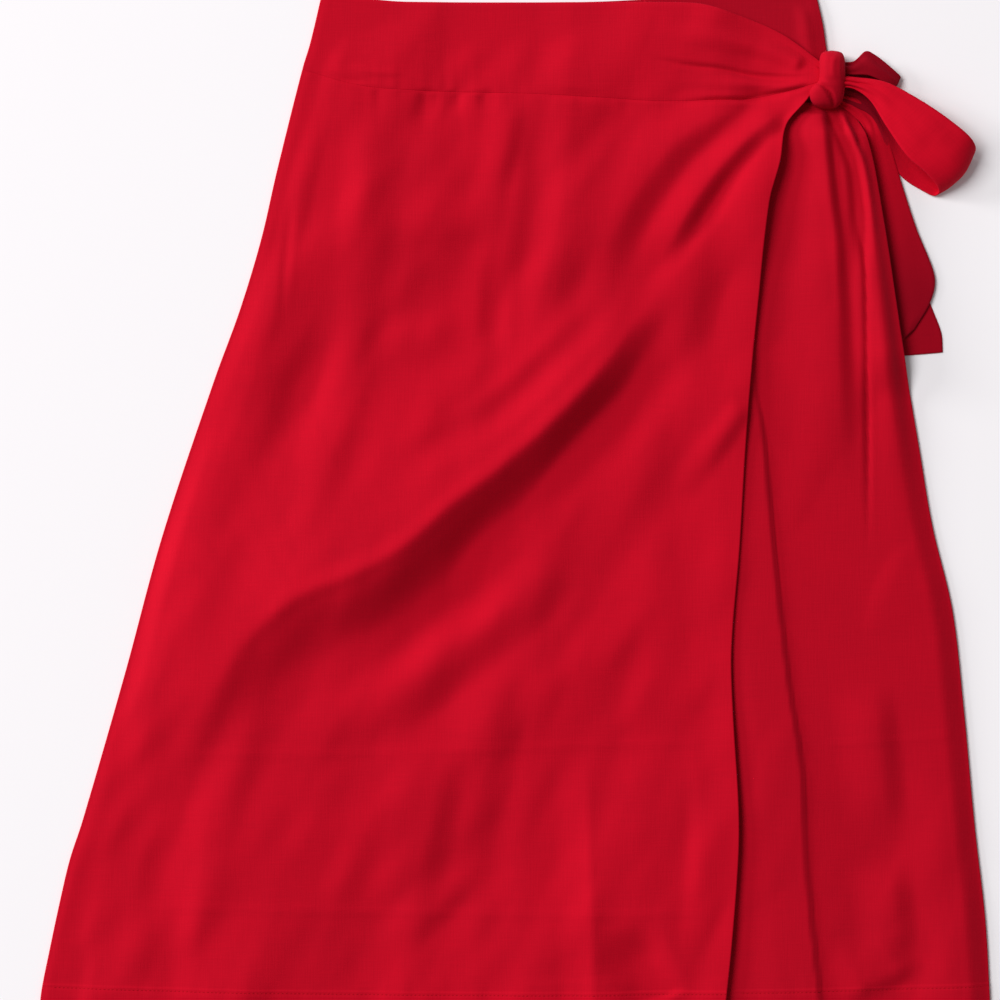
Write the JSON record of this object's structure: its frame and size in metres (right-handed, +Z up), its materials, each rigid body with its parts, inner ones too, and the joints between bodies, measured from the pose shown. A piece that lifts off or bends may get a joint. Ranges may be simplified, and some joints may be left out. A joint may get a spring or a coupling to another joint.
{
  "type": "wrap skirt",
  "caption": "Midi wrap skirt laid flat, its yoke drawn into a tied bow at one hip, with diagonal drape folds and pleats under the knot.",
  "frame": {"origin": "middle of the box that holds the laid-out skirt, on the surface it lies on", "axes": "+X to the side that the bow is on, +Y from hem to waist, +Z up from the surface to the front of the skirt"},
  "size_m": [0.7116, 0.773, 0.0239],
  "materials": {
    "skirt_cloth": "matt red linen-like plain weave with soft slubs",
    "tie_cloth": "the same red cloth, doubled and turned out"
  },
  "bodies": {
    "root": {"back_panel": "skirt_cloth", "back_yoke": "skirt_cloth", "inner_front_panel": "skirt_cloth", "inner_front_yoke": "skirt_cloth", "outer_front_panel": "skirt_cloth", "outer_front_yoke": "skirt_cloth", "tie_knot": "tie_cloth", "bow_loop_front": "tie_cloth", "bow_loop_rear": "tie_cloth", "tie_tail_upper": "tie_cloth", "tie_tail_lower": "tie_cloth"}
  },
  "joints": []
}
